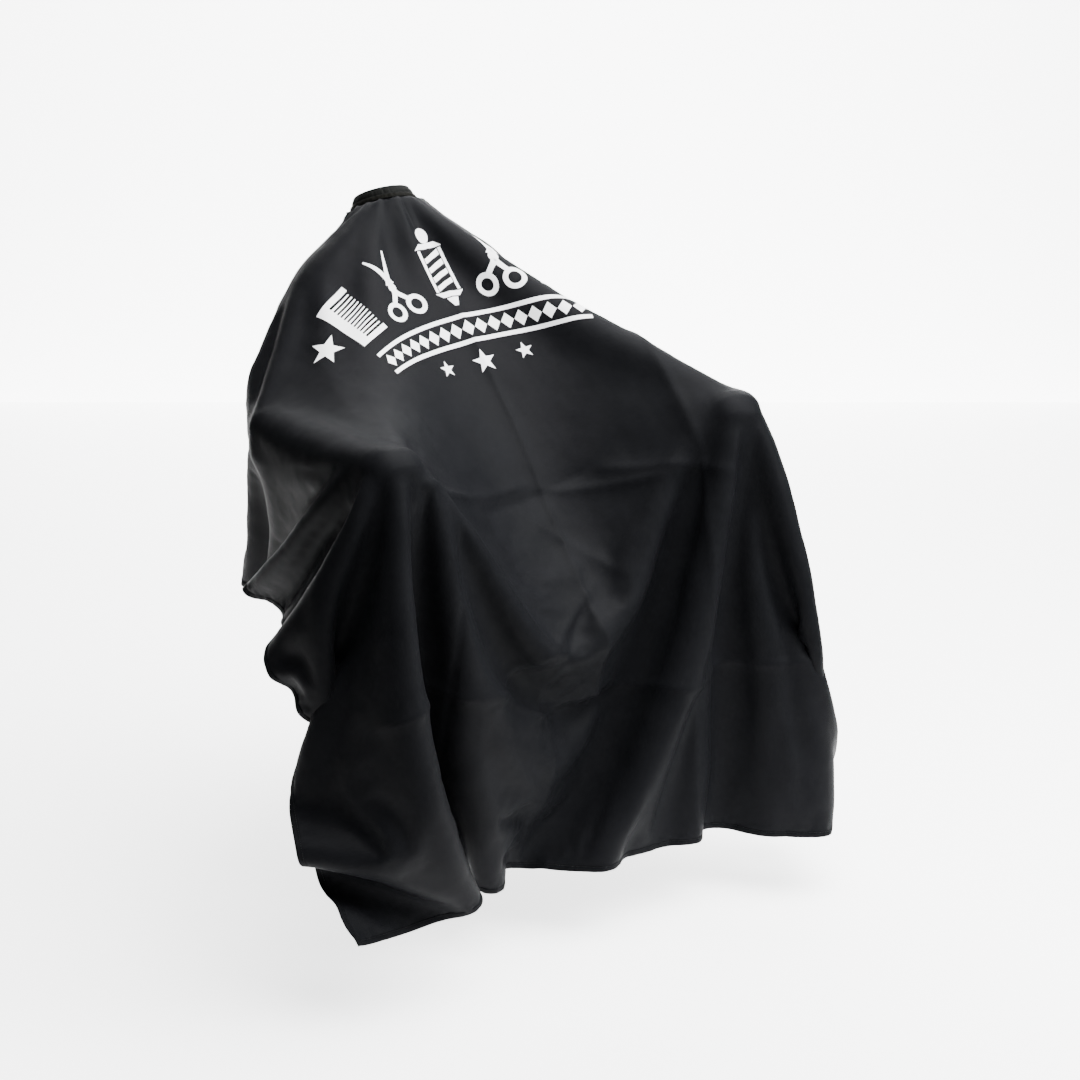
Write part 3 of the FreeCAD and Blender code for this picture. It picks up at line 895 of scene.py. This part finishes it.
def make_collar():
    gap = band_turn(SLIT)
    ends = (gap, 2 * math.pi - gap)
    outer = [(0.0002, 0.0003), (0.0020, 0.0004), (0.0085, 0.0005), (0.0092, 0.0002), (0.0100, 0.0006),
             (0.0130, 0.0011), (0.0165, 0.0011), (0.0188, 0.0007), (0.0196, 0.0004), (0.0204, 0.0007),
             (0.0215, 0.0004), (0.0220, -0.0004), (0.0217, -0.0012), (0.0206, -0.0014),
             (0.0150, -0.0010), (0.0080, -0.0009), (0.0004, -0.0008)]
    band_strip("collar_band_cloth", ["collar_band"], outer, COLLAR_CLOTH, *ends, 340,
               wobble=gathers(0.00035, 24, 21))
    stiff = [(0.0012, -0.0009), (0.0195, -0.0011), (0.0198, -0.0013), (0.0190, -0.0014), (0.0012, -0.0014)]
    band_strip("collar_stiffener", ["collar_interlining"], stiff, STIFFENER, *ends, 180)
    lining = [(0.0004, -0.0014), (0.0100, -0.0015), (0.0200, -0.0015), (0.0209, -0.0017), (0.0204, -0.0021),
              (0.0150, -0.0023), (0.0080, -0.0023), (0.0010, -0.0020)]
    band_strip("collar_lining_cloth", ["collar_lining"], lining, LINING_CLOTH, *ends, 240)
    tape = [(0.0006, 0.0006), (0.0010, 0.0013), (0.0018, 0.0018), (0.0045, 0.0020), (0.0072, 0.0018),
            (0.0081, 0.0013), (0.0083, 0.0008), (0.0070, 0.0006), (0.0020, 0.0006)]
    band_strip("neck_tape", ["neck_seam_tape"], tape, TAPE_CLOTH, *ends, 340,
               wobble=gathers(0.00045, 24, 22))


def band_stitches(start, end, height, out):
    count = max(2, int(abs(end - start) * 0.050 / 0.0026))
    angles = np.linspace(start, end, count)
    step = (angles[1] - angles[0]) * 0.7
    a, normals = band(angles, height, out)
    b, _ = band(angles + step, height, out)
    return a, b, normals


def make_tab():
    start, end = band_turn(TAB_ROOT, SNAP_HEIGHT), band_turn(TAB_END, SNAP_HEIGHT)
    low, high = TAB_LOW, TAB_HIGH
    middle, reach = 0.5 * (low + high), 0.5 * (high - low)

    def tip(angle):
        left = np.clip((end - angle) * TAB_ROUND / reach, 0.0, 1.0)
        return np.maximum(np.sqrt(np.clip(1 - (1 - left) ** 2, 0, 1)), 0.06)

    def profile(inset, base, thick, crown):
        across = np.linspace(-1, 1, 9)
        top = [(middle + (reach - inset) * x, base + thick + crown * (1 - x ** 4)) for x in across]
        return top + [(middle + (reach - inset - 0.0003) * x, base) for x in across[::-1]]

    band_strip("tab_outer_cloth", ["tab_cloth", "tab_interlining"],
               profile(0.0, TAB_CLEAR + 0.0007, 0.0006, 0.0004), COLLAR_CLOTH, start, end, 90, "tab",
               wobble=gathers(0.00008, 20, 31), taper=tip)
    band_strip("tab_lining_cloth", ["tab_lining"], profile(0.0005, TAB_CLEAR + 0.0001, 0.0004, 0.0),
               LINING_CLOTH, start, end - 0.01, 90, "tab", taper=tip)
    inset = 0.0017
    centre = end - reach / TAB_ROUND
    rows = [band_stitches(start + 0.03, centre, height, TAB_CLEAR + 0.0016)
            for height in (low + inset, high - inset)]
    turns = np.linspace(-0.5 * math.pi, 0.5 * math.pi, 10)
    bow = reach - inset
    bend = [band(centre + bow * np.cos(turn) / TAB_ROUND, middle + bow * np.sin(turn), TAB_CLEAR + 0.0015)
            for turn in (turns[:-1], turns[:-1] + 0.72 * np.diff(turns))]
    rows.append((bend[0][0], bend[1][0], bend[0][1]))
    thread = stitch_mesh("tab_stitches", *(np.concatenate(part) for part in zip(*rows)), THREAD)
    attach(thread, "tab")


def make_label():
    """A blank woven ribbon that curls a little as it hangs inside the collar."""
    low, high = (np.array(k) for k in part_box("care_label"))
    across, down = 17, 33
    s, t = np.meshgrid(np.linspace(0, 1, across), np.linspace(0, 1, down))
    x = low[0] + s * (high[0] - low[0])
    z = high[2] - t * (high[2] - low[2])
    y = 0.5 * (low[1] + high[1]) + 0.0016 * t * np.sin(2.6 * s + 0.4) - 0.0022 * t ** 2
    thick = 0.00025
    rings = np.concatenate([np.stack([x, y + thick, z], -1), np.stack([x, y - thick, z], -1)[:, ::-1]], 1)
    label = sweep("care_label_ribbon", rings, rings[..., [0, 2]], LABEL_CLOTH)
    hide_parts("care_label")
    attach(label, "label")
    return label


# ---- the printed emblem ----
ARCH = 0.75                   # radius of the emblem's arch
EMBLEM_PLACE = 0.175          # its middle, along the sheet from the neck's centre
INK_RISE = 0.0007


# Flat shapes in metres, (across, up) from the emblem's own middle.
def disc(a, b, radius, sides=26):
    turns = np.linspace(0, 2 * math.pi, sides, endpoint=False)
    return [np.stack([a + radius * np.cos(turns), b + radius * np.sin(turns)], -1)]


def ring(a, b, inner, outer, sides=26):
    turns = np.linspace(0, 2 * math.pi, sides + 1)
    edge = np.stack([np.cos(turns), np.sin(turns)], -1)
    centre = np.array([a, b])
    return [np.array([centre + inner * edge[k], centre + outer * edge[k],
                      centre + outer * edge[k + 1], centre + inner * edge[k + 1]]) for k in range(sides)]


def bar(start, end, thick, thick_end=None):
    start, end = np.array(start, float), np.array(end, float)
    run = (end - start) / np.linalg.norm(end - start)
    side = 0.5 * np.array([-run[1], run[0]])
    last = thick if thick_end is None else thick_end
    return [np.array([start - side * thick, end - side * last, end + side * last, start + side * thick])]


def star(a, b, radius, waist=0.42):
    turns = 0.5 * math.pi + np.arange(10) * math.pi / 5
    reach = np.where(np.arange(10) % 2 == 0, radius, radius * waist)
    return [np.stack([a + reach * np.cos(turns), b + reach * np.sin(turns)], -1)]


def lozenge(a, b, wide, tall):
    return [np.array([(a - wide, b), (a, b - tall), (a + wide, b), (a, b + tall)])]


def moved(shapes, across, up, turn=0.0, size=1.0):
    cos, sin = math.cos(turn) * size, math.sin(turn) * size
    spin = np.array([[cos, sin], [-sin, cos]])
    return [shape @ spin + (across, up) for shape in shapes]


def comb():
    shapes = bar((-0.030, -0.052), (-0.030, 0.052), 0.020)
    shapes += bar((-0.021, 0.047), (0.026, 0.047), 0.010)
    shapes += bar((-0.021, -0.047), (0.026, -0.047), 0.010)
    for k in range(11):
        up = -0.036 + 0.0072 * k
        shapes += bar((-0.021, up), (0.022, up), 0.0040, 0.0026)
    return shapes


def scissors():
    shapes = []
    for side in (-1, 1):
        shapes += bar((-0.004 * side, 0.004), (0.020 * side, 0.056), 0.013, 0.003)
        shapes += bar((0.003 * side, -0.004), (-0.015 * side, -0.026), 0.010, 0.008)
        shapes += ring(-0.022 * side, -0.040, 0.010, 0.018)
    return shapes + disc(0, 0, 0.008, 16)


def pole():
    shapes = disc(0, 0.056, 0.011, 20)
    shapes += bar((0, 0.036), (0, 0.045), 0.050, 0.030)
    shapes += bar((0, -0.036), (0, -0.045), 0.050, 0.030)
    shapes += bar((0, -0.047), (0, -0.062), 0.020, 0.006)
    for side in (-1, 1):
        shapes += bar((0.0195 * side, -0.034), (0.0195 * side, 0.034), 0.005)
    for k in range(4):
        low = -0.033 + 0.0155 * k
        shapes.append(np.array([(-0.0155, low), (0.0155, low + 0.012), (0.0155, low + 0.020),
                                (-0.0155, low + 0.008)]))
    return shapes


def emblem():
    """Tools of the trade on a shallow arch, over a row of lozenges between two rails."""
    shapes = []
    row = [(star(0, 0, 0.030), -0.262), (comb(), -0.182), (scissors(), -0.092), (pole(), 0.0),
           (scissors(), 0.092), (moved(comb(), 0, 0, math.pi), 0.182), (star(0, 0, 0.030), 0.262)]
    for shape, across in row:
        shapes += moved(shape, across, ARCH * math.cos(across / ARCH) - ARCH, -across / ARCH)
    for up, thick in ((-0.080, 0.007), (-0.122, 0.007)):
        reach = ARCH + up
        turns = np.linspace(-0.225, 0.225, 41) / ARCH
        for first, second in zip(turns[:-1], turns[1:]):
            low, high = reach - 0.5 * thick, reach + 0.5 * thick
            shapes.append(np.array([(low * math.sin(first), low * math.cos(first) - ARCH),
                                    (low * math.sin(second), low * math.cos(second) - ARCH),
                                    (high * math.sin(second), high * math.cos(second) - ARCH),
                                    (high * math.sin(first), high * math.cos(first) - ARCH)]))
    for k in range(-8, 9):
        turn = 0.026 * k / ARCH
        shapes += moved(lozenge(0, 0, 0.0105, 0.013), (ARCH - 0.101) * math.sin(turn),
                        (ARCH - 0.101) * math.cos(turn) - ARCH, -turn)
    for across, size in ((-0.07, 0.014), (0.0, 0.020), (0.07, 0.014)):
        shapes += star(across, -0.158, size)
    return shapes


def make_print():
    """The emblem in ink on the cloth, cut along the sheet's own mesh lines so that it follows them."""
    ink = bmesh.new()
    for shape in emblem():
        ink.faces.new([ink.verts.new((a, EMBLEM_PLACE - b, 0.0)) for a, b in shape])
    bmesh.ops.triangulate(ink, faces=ink.faces[:])
    for axis, low, high in ((0, -0.31, 0.31), (1, EMBLEM_PLACE - 0.09, EMBLEM_PLACE + 0.20)):
        for k in range(math.ceil(low / MESH), math.floor(high / MESH) + 1):
            place, across = Vector((0, 0, 0)), Vector((0, 0, 0))
            place[axis] = k * MESH
            across[axis] = 1.0
            bmesh.ops.bisect_plane(ink, geom=ink.verts[:] + ink.edges[:] + ink.faces[:], dist=1e-7,
                                   plane_co=place, plane_no=across)
    ink.normal_update()
    for face in ink.faces:
        if face.normal.z > 0:
            face.normal_flip()
    flat = np.array([tuple(point.co) for point in ink.verts])
    ink.verts.index_update()
    faces = [tuple(point.index for point in face.verts) for face in ink.faces]
    ink.free()
    u, v = flat[:, 0], flat[:, 1]
    piece = make_mesh("chest_print", surface.at(u, v, INK_RISE), faces, flat[:, :2], PRINT_INK)
    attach(piece, "cape")
    return piece


cape = make_sheet()
print_on_chest = make_print()
inside = (0.0, 0.5)
corner = HALF_WIDTH - HEM_WIDTH
turned = [("hem_front_band", "hem_front", [(-corner, FRONT), (corner, FRONT)], inside)]
for hand, side in (("left", -1), ("right", 1)):
    edge, slit = side * HALF_WIDTH, side * SLIT
    turned += [
        (f"hem_{hand}_band", f"hem_side_{hand}", [(edge, CORNER - BACK), (edge, FRONT)], inside),
        (f"hem_back_{hand}_band", f"hem_back_{hand}", back_path(side), (side * 0.3, 0.3)),
        (f"facing_{hand}_band", f"opening_facing_{hand}", [(slit, -BACK), (slit, -NECK_Y - 0.001)],
         (side * 0.5, -0.1)),
    ]
bands = [turned_edge(name, node, path, toward) for name, node, path, toward in turned]
threads = [stitched_line(path, toward, HEM_STITCH, 0.0007) for name, node, path, toward in turned]
for height, out in ((0.0092, 0.0003), (0.0196, 0.0005), (0.0018, 0.0019)):
    threads.append(band_stitches(0.04, 2 * math.pi - 0.04, height, out))
stitches = stitch_mesh("cape_stitches", *(np.concatenate(part) for part in zip(*threads)), THREAD)
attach(stitches, "cape")
make_collar()
make_tab()
label = make_label()

for node, finish in (("snap_cap", ENAMEL), ("snap_studs", NICKEL), ("snap_backings", NICKEL),
                     ("snap_socket", NICKEL), ("snap_spring", WIRE)):
    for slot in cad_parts[node].material_slots:
        slot.material = finish


# ---- floor, light and camera ----
FLOOR = -1.02
VIEW_FROM = math.radians(-35.0)   # the side the camera and the open end of the studio are on
VIEW_RISE = math.radians(16.8)
VIEW_DISTANCE = 2.5
LENS = 56.0                       # millimetres
LENS_SHIFT = (0.0176, 0.0028)
MIDDLE = (0.03, -0.328, -0.468)
STAGE_FRONT = 0.80                # how far the white floor and wall reach from the middle
STAGE_BACK = 3.6
FRONT_SIDE = 0.85                 # half widths of the floor at its front and at its back
BACK_SIDE = 2.5
WALL_TOP = 1.9
WALL_GLOW = 4.5
FLOOR_GLOW = 2.2
ROOM_GLOW = 0.22


def stage_place(forward, across, height):
    """A place in the studio: forward of the middle towards the camera, across to its right."""
    toward = Vector((math.sin(VIEW_FROM), -math.cos(VIEW_FROM), 0.0))
    right = Vector((math.cos(VIEW_FROM), math.sin(VIEW_FROM), 0.0))
    return Vector((MIDDLE[0], MIDDLE[1], 0.0)) + toward * forward + right * across + Vector((0, 0, height))


def area_light(name, place, target, size, power, color=(1, 1, 1)):
    lamp = bpy.data.lights.new(name, "AREA")
    lamp.shape = "RECTANGLE"
    lamp.size, lamp.size_y = size
    lamp.energy = power
    lamp.color = color
    piece = bpy.data.objects.new(name, lamp)
    piece.location = place
    piece.rotation_euler = (Vector(target) - Vector(place)).to_track_quat("-Z", "Y").to_euler()
    bpy.context.scene.collection.objects.link(piece)


def flat_panel(name, corners, shader):
    mesh = bpy.data.meshes.new(name)
    mesh.from_pydata([tuple(corner) for corner in corners], [], [(0, 1, 2, 3)])
    mesh.materials.append(shader.material)
    panel = bpy.data.objects.new(name, mesh)
    bpy.context.scene.collection.objects.link(panel)


def make_studio():
    """A white floor with a glowing wall behind it; the studio is dim on the camera's side."""
    white = Shader("pale floor", (0.93, 0.93, 0.93), 0.8, Specular_IOR_Level=0.1,
                   Emission_Color=(1.0, 1.0, 1.0, 1.0), Emission_Strength=FLOOR_GLOW)
    back_left, back_right = (stage_place(-STAGE_BACK, side * BACK_SIDE, FLOOR) for side in (-1, 1))
    flat_panel("floor", [stage_place(STAGE_FRONT, -FRONT_SIDE, FLOOR),
                         stage_place(STAGE_FRONT, FRONT_SIDE, FLOOR), back_right, back_left], white)
    glow = Shader("glowing wall", (0.9, 0.9, 0.9), 0.8, Emission_Color=(1.0, 1.0, 1.0, 1.0),
                  Emission_Strength=WALL_GLOW)
    rise = Vector((0, 0, WALL_TOP))
    flat_panel("wall", [back_left, back_right, back_right + rise, back_left + rise], glow)
    world = bpy.data.worlds.new("studio")
    world.use_nodes = True
    room = world.node_tree.nodes["Background"]
    room.inputs["Color"].default_value = (0.97, 0.98, 1.0, 1.0)
    room.inputs["Strength"].default_value = ROOM_GLOW
    bpy.context.scene.world = world
    area_light("overhead", stage_place(0.3, 1.0, 2.2), stage_place(0.0, 0.2, -0.5), (2.8, 2.8), 500.0)
    area_light("back", stage_place(-2.7, 0.0, 2.0), stage_place(-2.5, 0.0, FLOOR), (4.0, 1.4), 230.0)
    area_light("side", stage_place(0.6, 2.8, 0.9), MIDDLE, (1.2, 1.6), 120.0, (0.96, 0.98, 1.0))


def make_camera():
    level = math.cos(VIEW_RISE)
    away = Vector((math.sin(VIEW_FROM) * level, -math.cos(VIEW_FROM) * level, math.sin(VIEW_RISE)))
    data = bpy.data.cameras.new("camera")
    data.sensor_width = 36.0
    data.lens = LENS
    data.shift_x, data.shift_y = LENS_SHIFT
    camera = bpy.data.objects.new("camera", data)
    camera.location = Vector(MIDDLE) + away * VIEW_DISTANCE
    camera.rotation_euler = (-away).to_track_quat("-Z", "Y").to_euler()
    bpy.context.scene.collection.objects.link(camera)
    bpy.context.scene.camera = camera


make_studio()
make_camera()
